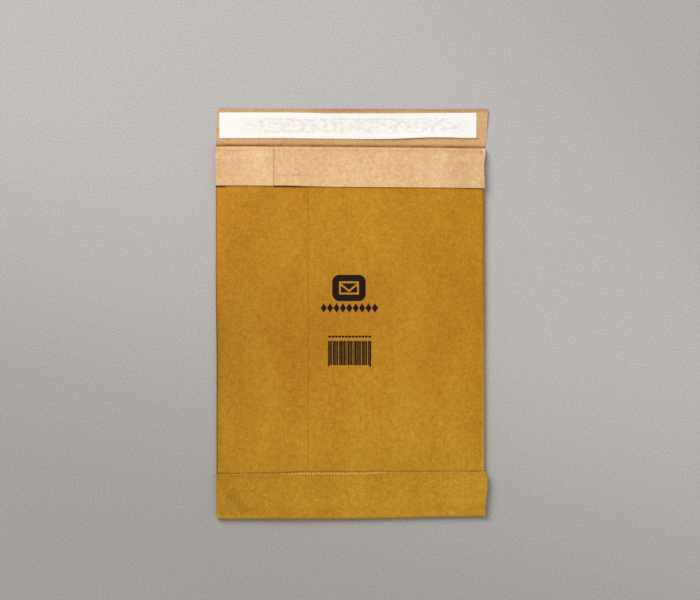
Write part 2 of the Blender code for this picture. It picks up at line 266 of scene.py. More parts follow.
def lap_hump(x):
    """1 over the lap, easing to 0 on both sides of it."""
    left = smooth((x - LAP_UNDER_EDGE + LAP_RAMP + LAP_FALL) / LAP_FALL)
    right = smooth((LAP_TOP_EDGE + LAP_FALL - x) / LAP_FALL)
    return left * right


def back_height(x, y):
    """Height of the pocket's lower face."""
    return TWO_PLY + PAD_ROOM * wall_fill(x, y)


def side_opening(x, y):
    """Height of the pocket at its side bends."""
    growth = smooth((y - bottom_line(x) - BOTTOM_WALL_START) / BOTTOM_RAMP)
    return mix(GAP, SIDE_OPENING, growth)


def lumps(x, y):
    """Unevenness of the padding, as it shows through the front."""
    wide = 0.16 * MM * ripple(x, y * 0.7, 26, 3.0)
    fine = 0.07 * MM * ripple(x, y * 0.8, 9, 8.0)
    return (wide + fine) * wall_fill(x, y)


def opening(x, y):
    """Height of the pocket at a point: a flat-topped crown between the side bends."""
    rise = CROWN * smooth((y - bottom_line(x) - CROWN_START) / CROWN_RISE)
    rise += PAD_ROOM * (1 - mouth_fill(x, y))
    across = max(0.0, 1 - (x / BODY_SIDE) ** 4)
    return side_opening(x, y) + rise * across


def front_top(x, y):
    """Height of a smooth surface laid over the front panel, with the lap's plies below it."""
    fill = wall_fill(x, y)
    wall = TWO_PLY + PAD_ROOM * fill + LAP_LIFT * lap_hump(x) * (1 - fill)
    return back_height(x, y) + opening(x, y) + lumps(x, y) + wall


def bottom_radius(x):
    """Radius of the bottom fold, measured to its outermost face."""
    return 2 * TWO_PLY + GAP + LAP_LIFT * lap_hump(x) + FOLD_SPRING


def mouth_wall(x):
    """Thickness of the unpadded front wall at the mouth, under a smooth surface."""
    return TWO_PLY + LAP_LIFT * lap_hump(x)


def mouth_axis(x):
    """Y of the line round which the mouth folds."""
    return mouth_line(x) - mouth_wall(x) - MOUTH_SPRING


def body_sides(y):
    """X of both side bends' centres at a station of the body."""
    sides = []
    for sign in (-1, 1):
        edge = HALF + 0.1 * MM * ripple(sign * HALF, y, 30, 5.0)
        if sign > 0:
            edge += BOTTOM_SPREAD * (1 - smooth((y - bottom_line(HALF)) / SPREAD_RUN)) - 0.2 * MM
        else:
            edge -= (0.1 + 0.52 * before(y, 30, 70)) * MM
        x = sign * HALF
        sides.append(sign * (edge - side_opening(x, y) / 2 - back_height(x, y)))
    return sides


def spread(x, sides):
    """X of a front or back point when the side bends move: only the bands beside them follow."""
    side, sign = (sides[0], -1) if x < 0 else (sides[1], 1)
    share = smooth((abs(x) - BODY_SIDE + SIDE_BAND) / SIDE_BAND)
    return x + (side - sign * BODY_SIDE) * share


def pocket(column, y, sides):
    """A point of the pocket's face and its outward direction, both as (across, up)."""
    if column.panel in ("left", "right"):
        sign = -1 if column.panel == "left" else 1
        x = sign * HALF
        radius = side_opening(x, y) / 2
        out = Vector((sign * math.cos(column.angle), math.sin(column.angle)))
        centre = Vector((sides[0] if sign < 0 else sides[1], back_height(x, y) + radius))
        return centre + out * radius, out
    x = spread(column.x, sides)
    if column.panel == "back":
        return Vector((x, back_height(x, y))), Vector((0, -1))
    return Vector((x, back_height(x, y) + opening(x, y) + lumps(x, y))), Vector((0, 1))


def turn_up_height(x, y, radius):
    """Height of the turn-up's upper face over the front, springing up from the bottom fold."""
    beyond = y - bottom_line(x) - radius
    room = mix(2 * FOLD_SPRING, GLUE_ROOM, wall_fill(x, y))
    edge = past(beyond - TURN_UP_DEPTH, -9, 8)
    lift = (0.28 + 0.16 * ripple(x, 0, 17, 2.0)) * MM * edge
    wave = 0.12 * MM * ripple(x, y, 19, 6.0) * past(beyond, 0, 8)
    return front_top(x, y) + room + radius - FOLD_SPRING + lift + wave


def turned_up(column, row, depth_of, peek_of):
    """A point of the bottom fold, or of the turn-up that lies on the front."""
    x = column.x
    radius = bottom_radius(x)
    axis_y = bottom_line(x) + radius
    sides = body_sides(axis_y)
    if row.part == "turn_up":
        rounded = 1.4 * MM * smooth((row.at - 0.88) / 0.12)
        sides[0] += 0.25 * MM - 0.45 * MM * smooth((row.at - 0.3) / 0.4)
        sides[1] += TURN_UP_FLARE * smooth(row.at * 1.2) - 0.4 * MM * smooth(row.at * 4) - rounded
    else:
        rounded = CORNER_ROUNDING * math.sin(row.at) ** 4
        drawn_in = 0.125 * MM * (1 - math.cos(row.at))
        sides = [sides[0] + rounded + drawn_in, sides[1] - 0.6 * rounded]
    point, out = pocket(column, axis_y, sides)
    across, height = point + out * depth_of(column, 0.0)
    if row.part == "bottom_fold":
        reach = radius - height
        y = axis_y - reach * math.sin(row.at)
        return Vector((across, y, radius - reach * math.cos(row.at)))
    y = mix(axis_y, turn_up_line(x) + peek_of(column), row.at)
    return Vector((across, y, turn_up_height(x, y, radius) - height))


def cuff_height(x, y):
    """Height of the cuff's upper face over the front, springing down from the mouth fold."""
    below = mouth_line(x) - y - mouth_wall(x) - MOUTH_SPRING
    room = mix(2 * MOUTH_SPRING, GLUE_ROOM, mouth_fill(x, y))
    edge = past(below - CUFF_DEPTH, -8, 6)
    lift = (0.3 + 0.2 * ripple(x, 0, 21, 4.0)) * MM * edge
    wave = 0.1 * MM * ripple(x, y, 23, 9.0) * past(below, 0, 8)
    return front_top(x, y) + room + mouth_wall(x) + lift + wave


def cuffed(column, row, depth_of):
    """A point of the mouth fold, or of the cuff that lies on the front."""
    x = column.x
    radius = mouth_wall(x) + MOUTH_SPRING
    axis_y = mouth_line(x) - radius
    start = body_sides(axis_y)
    folded = [CUFF_LEFT_INSET - HALF, HALF + CUFF_RIGHT_SPREAD]
    depth = depth_of(column, 0.0)
    if row.part == "mouth_fold":
        share = row.at / math.pi
        sides = [mix(a, b, share) for a, b in zip(start, folded)]
        point, out = pocket(column, axis_y, sides)
        reach = radius - depth
        y = axis_y + reach * math.sin(row.at)
        return Vector((point.x, y, point.y + radius - reach * math.cos(row.at)))
    y = mix(axis_y, cuff_line(x), row.at)
    folded[0] += 0.3 * MM * row.at
    folded[1] += (0.35 * smooth((row.at - 0.5) / 0.3) - 1.0 * smooth((row.at - 0.08) / 0.3)) * MM
    return Vector((spread(x, folded), y, cuff_height(x, y) - depth))


def flap_edges(share):
    """X of the flap's left and right edges, a share of the way from the mouth to its free edge."""
    rounded = 0.9 * MM * smooth((share - 0.95) / 0.05) ** 2
    slant = FLAP_LEFT_SLANT * smooth((share - 0.4) / 0.6)
    return [FLAP_LEFT_INSET - HALF + slant + rounded, HALF + FLAP_RIGHT_SPREAD + FLAP_FLARE * share - rounded]


def flap_lift(x, y):
    """How far the flap stands off the table: its corners curl a little."""
    beyond = past(y - mouth_line(x), 4, 20)
    corner = past(abs(x), 60, 45)
    side = 0.9 if x > 0 else 0.5
    return beyond * (side * corner + 0.12 * (1 + ripple(x, y, 30, 1.0))) * MM


def flapped(column, row, depth_of):
    """A point of the flap, where the side bends open out flat beyond the mouth."""
    x = column.x
    axis_y = mouth_axis(x)
    tube_point, tube_out = pocket(column, axis_y, body_sides(axis_y))
    left, right = flap_edges(row.flap_share)
    flat_sides = [left + QUARTER_BEND, right - QUARTER_BEND]
    if column.panel == "back":
        across = spread(x, flat_sides)
    else:
        turned = min(1.0, 1 + column.angle / (math.pi / 2))
        start, edge = (flat_sides[0], left) if column.panel == "left" else (flat_sides[1], right)
        across = mix(start, edge, turned)
    y = mix(axis_y, flap_line(x), row.flap_share)
    share = smooth((y - axis_y) / (FLATTEN_RUN * (0.6 if x > 0 else 1.0)))
    point = tube_point.lerp(Vector((across, TWO_PLY)), share)
    out = tube_out.lerp(Vector((0, -1)), share).normalized()
    across, height = point + out * depth_of(column, 0.0)
    return Vector((across, y, height + flap_lift(x, y)))


def in_body(column, row, depth_of):
    """A point of the tube between its two folds."""
    x = column.x
    low = bottom_line(x) + bottom_radius(x)
    high = mouth_axis(x)
    y = mix(low, high, row.at)
    point, out = pocket(column, y, body_sides(y))
    across, height = point + out * depth_of(column, wall_fill(x, y))
    return Vector((across, y, height))


def place(column, row, depth_of, peek_of):
    """Where one point of the flat web goes when the envelope is folded."""
    if row.part in ("turn_up", "bottom_fold"):
        return turned_up(column, row, depth_of, peek_of)
    if row.part in ("mouth_fold", "cuff"):
        if column.panel in ("over", "under"):
            return cuffed(column, row, depth_of)
        return flapped(column, row, depth_of)
    return in_body(column, row, depth_of)


def lap_share(column):
    """1 where the lap's two runs lie on each other, easing to 0 beside the lap."""
    if column.panel == "over":
        return smooth((column.x - LAP_UNDER_EDGE + LAP_RAMP) / LAP_RAMP)
    if column.panel == "under":
        return 1 - smooth((column.x - LAP_TOP_EDGE - GAP) / LAP_RAMP)
    return 0.0


def lap_level(column, fill):
    """How far the lap carries its runs outwards, so that its face is level with the padded wall."""
    lift = LAP_LIFT if column.panel == "over" else 0.0
    return lap_share(column) * (lift + LAP_RAISE * fill)


def inner_depth(column, fill):
    """Depth of the inner ply's middle, outwards from the pocket's face."""
    return PLY / 2 + lap_level(column, fill)


def outer_depth(column, fill):
    """Depth of the outer ply's middle, outwards from the pocket's face."""
    padding = PAD_ROOM * fill * (1 - lap_share(column))
    return PLY + GAP + PLY / 2 + lap_level(column, fill) + padding


def padding_depth(column, fill):
    """Depth of the padding's middle, between the two plies."""
    return PLY + GAP + PADDING / 2


def seam_depth(column, fill):
    """Depth of the seam's glue, between the lap's two runs."""
    return TWO_PLY + GAP + GLUE / 2 + LAP_RAISE * fill


def outer_peek(column):
    """The outer ply's cut edge sets the turn-up's line, where it lies on top."""
    return 0.0 if column.panel == "back" else -0.3 * MM


def inner_peek(column):
    """How far the inner ply's cut edge lies past the turn-up's line."""
    return inner_show(column.x)


def no_peek(column):
    """A square end."""
    return 0.0


def divided(keys, step):
    """The keys with evenly spaced values between them, no further apart than a step."""
    values = [keys[0]]
    for low, high in zip(keys, keys[1:]):
        count = max(1, math.ceil((high - low) / step - 0.01))
        values += [mix(low, high, k / count) for k in range(1, count + 1)]
    return values


def front_line(step):
    """X of the columns across the front or the back, from left to right."""
    keys = [
        -BODY_SIDE,
        LAP_UNDER_EDGE - LAP_RAMP - LAP_FALL,
        LAP_UNDER_EDGE - LAP_RAMP,
        LAP_UNDER_EDGE - 0.9 * MM,
        LAP_UNDER_EDGE,
        LAP_UNDER_EDGE + 0.8 * MM,
        LAP_TOP_EDGE,
        LAP_TOP_EDGE + GAP,
        LAP_TOP_EDGE + GAP + LAP_RAMP,
        LAP_TOP_EDGE + LAP_FALL,
        BODY_SIDE - 2.4 * MM,
        BODY_SIDE - 1.6 * MM,
        BODY_SIDE - 0.8 * MM,
        BODY_SIDE,
    ]
    return divided(keys, step)


def clipped(values, low, high):
    """The values between two limits, with the limits themselves at the ends."""
    return [low] + [value for value in values if low < value < high] + [high]


def web_columns(over_end, under_end):
    """Columns round the tube, from one x on the lap's upper run to one on its lower run."""
    line = front_line(FRONT_STEP)
    up = math.pi / 2
    columns = [Column("over", x, up) for x in reversed(clipped(line, -BODY_SIDE, over_end))]
    for k in range(1, FOLD_STEPS):
        columns.append(Column("left", -HALF, up - math.pi * k / FOLD_STEPS))
    columns += [Column("back", x, -up) for x in front_line(BACK_STEP)]
    for k in range(1, FOLD_STEPS):
        columns.append(Column("right", HALF, -up + math.pi * k / FOLD_STEPS))
    columns += [Column("under", x, up) for x in reversed(clipped(line, under_end, BODY_SIDE))]
    return columns


def shares(count):
    """Even shares after 0, up to 1."""
    return [k / count for k in range(1, count + 1)]


def body_rows(low, high):
    """Rows of the tube between its folds, closer together near both of them and at the edges on it."""
    length = POCKET_LENGTH - MOUTH_DROP - FOLD_SPRING - MOUTH_SPRING - 3 * TWO_PLY
    near = [k * MM / length for k in (1, 2, 3, 4, 5.5, 7, 8.5, 10, 12, 14)]
    fine = [30.4 + 0.4 * k for k in range(14)] + [length / MM - 31.5 + 0.5 * k for k in range(8)]
    keys = [0.0] + near + [k * MM / length for k in fine] + [1 - share for share in reversed(near)] + [1.0]
    rows = divided(sorted(keys), ROW_STEP / length)
    return [Row("body", at, 0.0) for at in rows if low <= at <= high]


def web_rows():
    """Rows along the whole web, from the turn-up's edge to the cuff's and the flap's."""
    rows = [Row("turn_up", at, 0.0) for at in reversed(shares(20))]
    rows += [Row("bottom_fold", math.pi * (1 - at), 0.0) for at in [0] + shares(FOLD_STEPS)[:-1]]
    rows += body_rows(0.0, 0.999)
    beyond = [("mouth_fold", math.pi * at) for at in [0] + shares(FOLD_STEPS)]
    beyond += [("cuff", at) for at in shares(38)]
    last = len(beyond) - 1
    return rows + [Row(part, at, k / last) for k, (part, at) in enumerate(beyond)]


def in_slit(cell_columns, cell_rows):
    """Whether one cell of the web lies where the sides are cut open, a little deeper at the right."""
    forward = all(column.angle > -0.01 for column in cell_columns)
    panels = {column.panel for column in cell_columns}
    if not forward or not panels & {"left", "right"}:
        return False
    if all(row.part in ("mouth_fold", "cuff") for row in cell_rows):
        return True
    return "right" in panels and all(row.part != "body" or row.at > SLIT_FROM for row in cell_rows)


def grid(columns, rows, place_of):
    """A sheet of cells, each corner of which a function of its column and its row places."""
    shape = bmesh.new()
    for layer in ("cut_end", "shade", "paling_and_highlight"):
        shape.verts.layers.float.new(layer)
    bmesh.ops.create_grid(shape, x_segments=len(columns) - 1, y_segments=len(rows) - 1, size=0.5)
    homes = {}
    for vertex in shape.verts:
        column = columns[round((vertex.co.x + 0.5) * (len(columns) - 1))]
        row = rows[round((vertex.co.y + 0.5) * (len(rows) - 1))]
        homes[vertex] = (column, row)
    for vertex, (column, row) in homes.items():
        vertex.co = place_of(column, row)
    return shape, homes


def pink(shape, homes, shift):
    """Cut the turn-up's edge into teeth: its edges are divided, and their points step in and out."""
    end = shape.verts.layers.float["cut_end"]
    shade = shape.verts.layers.float["shade"]
    for vertex, (column, row) in homes.items():
        vertex[end] = 1.0 if row.part == "turn_up" and row.at == 1.0 else 0.0
    by_count = {}
    for item in shape.edges:
        if item.verts[0][end] + item.verts[1][end] == 2.0:
            count = max(1, round(item.calc_length() / TOOTH_CUT)) - 1
            by_count.setdefault(count, []).append(item)
    for count, items in by_count.items():
        if count:
            bmesh.ops.subdivide_edges(shape, edges=items, cuts=count)
    for vertex in shape.verts:
        if vertex[end] < 0.99:
            continue
        tooth = abs((vertex.co.x / TOOTH_PITCH + shift) % 1.0 - 0.5) * 2
        ragged = 0.3 * ripple(vertex.co.x, 0, 3, 4.5 + shift)
        # Painted shade in the teeth's hollows and painted light at their tips
        vertex[shade] += 0.35 * (0.6 - tooth)
        vertex.co.y += TOOTH_DEPTH * (tooth - 0.5) + ragged * MM


def spot(x, y, middle, radius):
    """1 in the middle of a round spot, easing to 0 at its rim."""
    reach = math.hypot((x - middle[0]) / radius[0], (y - middle[1]) / radius[1])
    return 1 - smooth(reach)


def painted_falloff(x, y):
    """How much painted shade darkens the golden front across its middle and towards its left side."""
    band = near(y, -12, 95) * (0.11 - 0.05 * x / HALF)
    return 0.02 + band + 0.05 * smooth(-x / HALF)


def front_shade(column, x, y, uneven):
    """Darkening of the front and the sides: painted shade under the turn-up's and the cuff's edges and in the
    gaps there, painted shade on the left bend and falling off across the middle and towards the lower left, and
    a darker patch near the upper left.
    """
    above = y - turn_up_top(x)
    below = cuff_line(x) - y
    gaps = before(x, -91, 2)
    right_of_lap = smooth((LAP_TOP_EDGE + 2 * MM - x) / (14 * MM))
    gaps += past(x - LAP_UNDER_EDGE, -0.8, 1) * right_of_lap
    gape = near(abs(x + 43 * MM), 3, 6)
    uneven += 0.5 * gape * ripple(x, 0, 2, 5.0)
    dark = (0.5 + 0.45 * gape) * near(above, 0.4, 1.5) * uneven + painted_falloff(x, y)
    dark += 0.4 * uneven * near(below, 0, 1.8) + 1.05 * gaps * near(below, 0.4, 1.9)
    dark += 0.12 * spot(x, y, (-60 * MM, 80 * MM), (12 * MM, 34 * MM))
    low_left = before(y, 40, 70)
    # Painted shade falling off towards the lower left
    dark += (0.14 * near(x, -97, 5) + 0.05 * before(x, -68, 20)) * low_left
    if column.panel == "left":
        # Painted shade on the left bend
        dark += mix(0.42, 0.68, low_left) * fade(column.angle - 0.25, 0.9)
    return min(DARKEST_GAP, dark)


def turn_up_shade(column, x, y):
    """Darkening of the turn-up's outer ply: painted shade along its left bend, a darker slanting streak and
    painted shade towards its left end.
    """
    slant = 0.81 * (x + 93 * MM) + 0.586 * (y + 125.4 * MM)
    streak = near(slant, 0, 6) * near(y, -137, 17)
    # Painted shade along the left bend
    outline = 0.55 * fade(abs(column.angle) - 0.3, 0.9) if column.panel == "left" else 0.0
    return outline + 0.2 * streak + 0.13 * before(x, -25, 50)


def cuff_shade(column, x, y, uneven):
    """Painted shade on the cuff: along the lap's edge, by the fold, towards the left end, beside the slit's
    pale sliver and in a short crease.
    """
    seam = x - LAP_UNDER_EDGE
    dark = 0.65 * near(seam, 0, 0.9) if column.panel == "over" else 0.35 * near(seam, 0, 0.8)
    dark += 0.08 * near(seam, 0, 6) * past(seam, 0, 1)
    dark += 0.15 * near(mouth_line(x) - y, 1, 5) + 0.13 * before(x, -62, 24)
    dark += 0.3 * near(slit_sliver(x, y), -0.8, 0.9) * past(y, 113, 3)
    crease = near(y, 101.6, 1.2) * past(seam, 0, 2)
    crease *= smooth((LAP_TOP_EDGE - x) / (3 * MM))
    return min(1.0, dark + 0.3 * crease * uneven)


def flap_shade(x, y, uneven):
    """Darkening of the flap: a little all over, painted shade in the mouth, a painted shadow along the liner's
    lower edge and painted shade above the liner.
    """
    beyond = y - mouth_line(x)
    dark = 0.22 - 0.05 * past(x, -20, 80) + 0.14 * near(beyond, 0, 6)
    dark += 0.72 * near(beyond, 0.8, 2.2) * uneven
    under_liner = near(y - LINER_LOW - liner_wave(x, 0), -0.6, 1.5)
    under_liner *= before(x, 97, 4)
    dark += (0.1 + 0.25 * past(x, 0, 40)) * under_liner
    dark += 0.04 * past(x, 88, 4) * past(beyond, 0, 8)
    above_liner = past(y - TOP_Y, -4, 3)
    return min(1.0, dark + (0.12 + 0.22 * past(x, -50, 50)) * above_liner)


def painted_shade_at(column, row, point, depth_of):
    """How much painted shade a place on the plies gets, along the edges that lie on it, in its creases and
    across its panels.
    """
    x, y = point.x, point.y
    uneven = 0.75 + 0.4 * ripple(x, y, 4, 2.5)
    front = column.panel in ("over", "under")
    if row.part == "body" and (front or column.angle > 0):
        return front_shade(column, x, y, uneven)
    if row.part == "turn_up":
        return 0.1 * uneven if depth_of is inner_depth else turn_up_shade(column, x, y)
    if row.part == "mouth_fold" and front:
        # Painted shade along the mouth fold's crest
        return 0.35 * math.sin(row.at)
    if row.part == "cuff" and front:
        return cuff_shade(column, x, y, uneven)
    if row.part in ("mouth_fold", "cuff"):
        return flap_shade(x, y, uneven)
    return 0.0


def slit_sliver(x, y):
    """How far a point of the cuff lies past the slanting left side of its pale sliver at the right slit."""
    return x - 97.1 * MM - (MOUTH_Y - 2 * MM - y) * 0.23


def pale_marks_and_highlight(column, row, point, depth_of):
    """How much the plies take their pale or golden marks: a golden-brown strip on the inner ply at the turn-up,
    a pale pink cut sliver at the slit, a pale scuffed corner, paler along the bottom fold's crest, and a
    painted highlight along the right bend.
    """
    x, y = point.x, point.y
    if row.part == "turn_up" and depth_of is inner_depth:
        return 1.0
    if row.part in ("mouth_fold", "cuff") and column.panel == "under":
        return -0.62 * past(slit_sliver(x, y), 0, 0.8) * past(y, 113, 3)
    corner = spot(x, y, (99.6 * MM, -149.2 * MM), (2.6 * MM, 2.2 * MM))
    paled_and_lit = 0.0
    # A painted highlight along the right bend, strongest towards the bottom
    if column.panel == "right" and row.part in ("body", "turn_up"):
        paled_and_lit = 1.1 * fade(abs(column.angle) - 0.7, 0.8) * before(y, 75, 170)
    # Paler along the bottom fold's crest
    if row.part == "bottom_fold":
        paled_and_lit = 0.45 * math.sin(row.at) * (0.6 + 0.6 * ripple(x, 0, 12, 7.0))
    return min(1.0, 0.6 * corner + max(0.0, paled_and_lit))


def put(name, data):
    """Add an object to the scene."""
    added = bpy.data.objects.new(name, data)
    bpy.context.scene.collection.objects.link(added)
    return added


def finish(name, shape, materials):
    """Make a piece of a shape, on the root body, and give it its materials."""
    mesh = bpy.data.meshes.new(name)
    shape.to_mesh(mesh)
    shape.free()
    for material in materials:
        mesh.materials.append(material)
    mesh.shade_smooth()
    piece = put(name, mesh)
    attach(piece, "root")
    return piece


def thicken(shape, thickness, inner=0, rim=0):
    """Give a sheet its thickness, with the materials of its inner face and its cut edges."""
    face_side = set(shape.faces)
    shape.normal_update()
    made = bmesh.ops.solidify(shape, geom=shape.faces[:], thickness=thickness)
    inner_side = {item for item in made["geom"] if isinstance(item, bmesh.types.BMFace)}
    for face in shape.faces:
        if face in inner_side:
            face.material_index = inner
        elif face not in face_side:
            face.material_index = rim
            for edge in face.edges:
                edge.smooth = False


def web_sheet(name, columns, rows, depth_of, peek_of, materials, thickness, pinked=None):
    """One sheet of the web, folded, with its sides slit beyond the mouth."""
    def place_of(column, row):
        return place(column, row, depth_of, peek_of)

    shape, homes = grid(columns, rows, place_of)
    cut = []
    for face in shape.faces:
        corners = [homes[vertex] for vertex in face.verts]
        if in_slit([corner[0] for corner in corners], [corner[1] for corner in corners]):
            cut.append(face)
    bmesh.ops.delete(shape, geom=cut, context="FACES")
    homes = {vertex: home for vertex, home in homes.items() if vertex.is_valid}
    shade = shape.verts.layers.float["shade"]
    paling_and_highlight = shape.verts.layers.float["paling_and_highlight"]
    # Painted shade, painted highlights and the paler marks, stored on the sheet's points
    for vertex, (column, row) in homes.items():
        vertex[shade] = painted_shade_at(column, row, vertex.co, depth_of)
        vertex[paling_and_highlight] = pale_marks_and_highlight(column, row, vertex.co, depth_of)
    if pinked is not None:
        pink(shape, homes, pinked)
    bmesh.ops.reverse_faces(shape, faces=shape.faces[:])
    thicken(shape, thickness, inner=min(1, len(materials) - 1), rim=len(materials) - 1)
    return finish(name, shape, materials)


class Signal:
    """A value in a material's nodes, with arithmetic."""

    def __init__(self, surface, socket):
        self.surface = surface
        self.socket = socket

    def __add__(self, other):
        return self.surface.maths("ADD", self, other)

    def __radd__(self, other):
        return self.surface.maths("ADD", other, self)

    def __sub__(self, other):
        return self.surface.maths("SUBTRACT", self, other)

    def __rsub__(self, other):
        return self.surface.maths("SUBTRACT", other, self)

    def __mul__(self, other):
        return self.surface.maths("MULTIPLY", self, other)

    def __rmul__(self, other):
        return self.surface.maths("MULTIPLY", other, self)


class Surface:
    """A material made of nodes round one Principled shader."""

    def __init__(self, name):
        self.material = bpy.data.materials.new(name)
        self.material.use_nodes = True
        self.nodes = self.material.node_tree.nodes
        self.links = self.material.node_tree.links
        self.shader = self.nodes["Principled BSDF"]

    def node(self, kind, settings, sockets):
        """Add a node: its settings first, then the values or links of its sockets."""
        node = self.nodes.new(kind)
        for name, value in settings.items():
            setattr(node, name, value)
        for name, value in sockets.items():
            self.feed(node.inputs[name], value)
        return node

    def signal(self, kind, settings, sockets, output=0):
        """Add a node and take one of its outputs."""
        return Signal(self, self.node(kind, settings, sockets).outputs[output])

    def feed(self, socket, value):
        """Set a socket's value, or link it."""
        if isinstance(value, Signal):
            self.links.new(value.socket, socket)
        else:
            socket.default_value = value

    def maths(self, operation, first, second):
        """One Math node."""
        return self.signal("ShaderNodeMath", {"operation": operation}, {0: first, 1: second})

    def grain(self, size, detail, rough, stretch=(1.0, 1.0, 1.0), turn=0.0, warp=0.0):
        """Noise from 0 to 1 with features of about a size in millimetres, longer where stretch is larger."""
        place = self.signal("ShaderNodeTexCoord", {}, {}, "Object")
        scale = tuple(1 / (size * MM * share) for share in stretch)
        values = {"Vector": place, "Scale": scale, "Rotation": (0.0, 0.0, turn)}
        place = self.signal("ShaderNodeMapping", {}, values)
        values = {"Vector": place, "Scale": 1.0, "Detail": detail, "Roughness": rough, "Distortion": warp}
        return self.signal("ShaderNodeTexNoise", {"noise_dimensions": "3D"}, values)

    def between(self, value, low, high, smooth_ends=True):
        """0 below a low value, 1 above a high one."""
        kind = "SMOOTHSTEP" if smooth_ends else "LINEAR"
        sockets = {"Value": value, "From Min": low, "From Max": high}
        return self.signal("ShaderNodeMapRange", {"interpolation_type": kind}, sockets)

    def tint(self, first, second, share, how="MIX"):
        """A colour between two, or one laid on the other."""
        settings = {"data_type": "RGBA", "blend_type": how}
        return self.signal("ShaderNodeMix", settings, {0: share, 6: first, 7: second}, 2)

    def attribute(self, name):
        """A value stored on the mesh's points."""
        return self.signal("ShaderNodeAttribute", {"attribute_name": name}, {}, "Fac")

    def across_and_along(self):
        """Object coordinates across the envelope and along it, as two values."""
        place = self.signal("ShaderNodeTexCoord", {}, {}, "Object")
        node = self.node("ShaderNodeSeparateXYZ", {}, {0: place})
        return [Signal(self, output) for output in node.outputs[:2]]

    def finish(self, colour, rough, height, depth):
        """Feed the shader its colour, its roughness and the relief of its face."""
        values = {"Height": height, "Strength": 1.0, "Distance": depth}
        normal = self.signal("ShaderNodeBump", {}, values)
        for name, value in (("Base Color", colour), ("Roughness", rough), ("Normal", normal)):
            self.feed(self.shader.inputs[name], value)
        return self.material


def rgb(red, green, blue):
    """A linear colour from one seen on a screen, 0 to 255."""
    return (*[(value / 255) ** 2.2 for value in (red, green, blue)], 1.0)


def kraft(name, tones, marks, gloss, contrast):
    """Kraft paper: cloudy tone, streaks along the web, short fibres and fine flecks."""
    dark, middle, light = tones
    fleck, painted_shade_colour, paled_and_lit = marks
    paper = Surface(name)
    cloud = paper.grain(42, 3.0, 0.55, (0.7, 1.6, 1.0))
    flock = paper.grain(3.4, 4.0, 0.6)
    streak = paper.grain(1.1, 3.0, 0.55, (0.8, 14.0, 1.0))
    fibre = paper.grain(0.5, 3.0, 0.6, (0.5, 3.2, 1.0), 0.35, 0.6)
    cross = paper.grain(0.5, 3.0, 0.6, (3.0, 0.5, 1.0), 0.2, 0.6)
    tooth = paper.grain(0.35, 4.0, 0.65)
    grit = paper.grain(1.5, 2.0, 0.5)
    tone = cloud * 0.2 + flock * 0.24 + grit * 0.26 + streak * 0.1 + fibre * 0.12 + cross * 0.08
    tone = (tone - 0.5) * contrast + 0.5
    low = paper.tint(dark, middle, paper.between(tone, 0.18, 0.5, False))
    colour = paper.tint(low, light, paper.between(tone, 0.5, 0.82, False))
    hue = paper.grain(9, 3.0, 0.6, (0.9, 1.3, 1.0), 0.4)
    colour = paper.tint(colour, rgb(240, 190, 160), paper.between(hue, 0.52, 0.72) * 0.13, "MULTIPLY")
    colour = paper.tint(colour, rgb(236, 240, 160), paper.between(0.0 - hue, -0.48, -0.28) * 0.13, "MULTIPLY")
    specks = paper.between(paper.grain(0.9, 2.0, 0.5, (0.6, 2.2, 1.0), 0.9), 0.67, 0.76)
    colour = paper.tint(colour, fleck, specks * 0.35)
    # Painted shade where the mesh's shade attribute says
    colour = paper.tint(colour, painted_shade_colour, paper.attribute("shade"))
    # Marks from a mesh attribute: scuffed and stained places and painted highlights in the marks' pale colour;
    # below 0, the pale pink of a cut sliver
    paling_and_highlight = paper.attribute("paling_and_highlight")
    colour = paper.tint(colour, paled_and_lit, paper.between(paling_and_highlight, 0.0, 1.0, False) * paper.between(tooth, 0.2, 0.55))
    colour = paper.tint(colour, rgb(246, 214, 190), paper.between(0.0 - paling_and_highlight, 0.0, 1.0, False))
    rough = gloss + fibre * 0.12 + flock * 0.08
    relief = tooth * 0.45 + fibre * 0.3 + cross * 0.25 + streak * 0.25
    return paper, colour, rough, relief


def golden_kraft():
    """The outer ply's face: kraft dyed golden, with a low sheen."""
    tones = [rgb(175, 117, 13), rgb(191, 138, 30), rgb(205, 157, 46)]
    # Flecks, the painted shade's colour, and the colour of scuffed places and painted highlights
    marks = [rgb(150, 88, 20), rgb(74, 28, 0), rgb(226, 182, 90)]
    paper, colour, rough, relief = kraft("golden_kraft", tones, marks, gloss=0.56, contrast=3.1)
    paper.feed(paper.shader.inputs["Specular IOR Level"], 0.22)
    y = paper.across_and_along()[1]
    redder = paper.between(y, -145 * MM, -20 * MM)
    colour = paper.tint(colour, rgb(255, 241, 192), redder, "MULTIPLY")
    colour = paper.tint(colour, rgb(249, 251, 255), 1.0 - redder, "MULTIPLY")
    return paper.finish(colour, rough, relief, 0.05 * MM)


def natural_kraft():
    """The inner ply's face: undyed kraft, matt."""
    tones = [rgb(200, 156, 99), rgb(225, 184, 131), rgb(242, 207, 160)]
    # Flecks, the painted shade's colour, and the colour of the stained strip and painted highlights
    marks = [rgb(176, 120, 70), rgb(144, 82, 22), rgb(210, 158, 66)]
    paper, colour, rough, relief = kraft("natural_kraft", tones, marks, gloss=0.72, contrast=2.5)
    return paper.finish(colour, rough, relief, 0.05 * MM)


def cut_paper():
    """The cut edge of kraft paper: pale, with fibres standing out."""
    paper = Surface("cut_paper")
    fuzz = paper.grain(0.3, 4.0, 0.7)
    colour = paper.tint(rgb(176, 124, 56), rgb(220, 178, 112), fuzz)
    return paper.finish(colour, 0.9 + fuzz * 0.1, fuzz, 0.08 * MM)


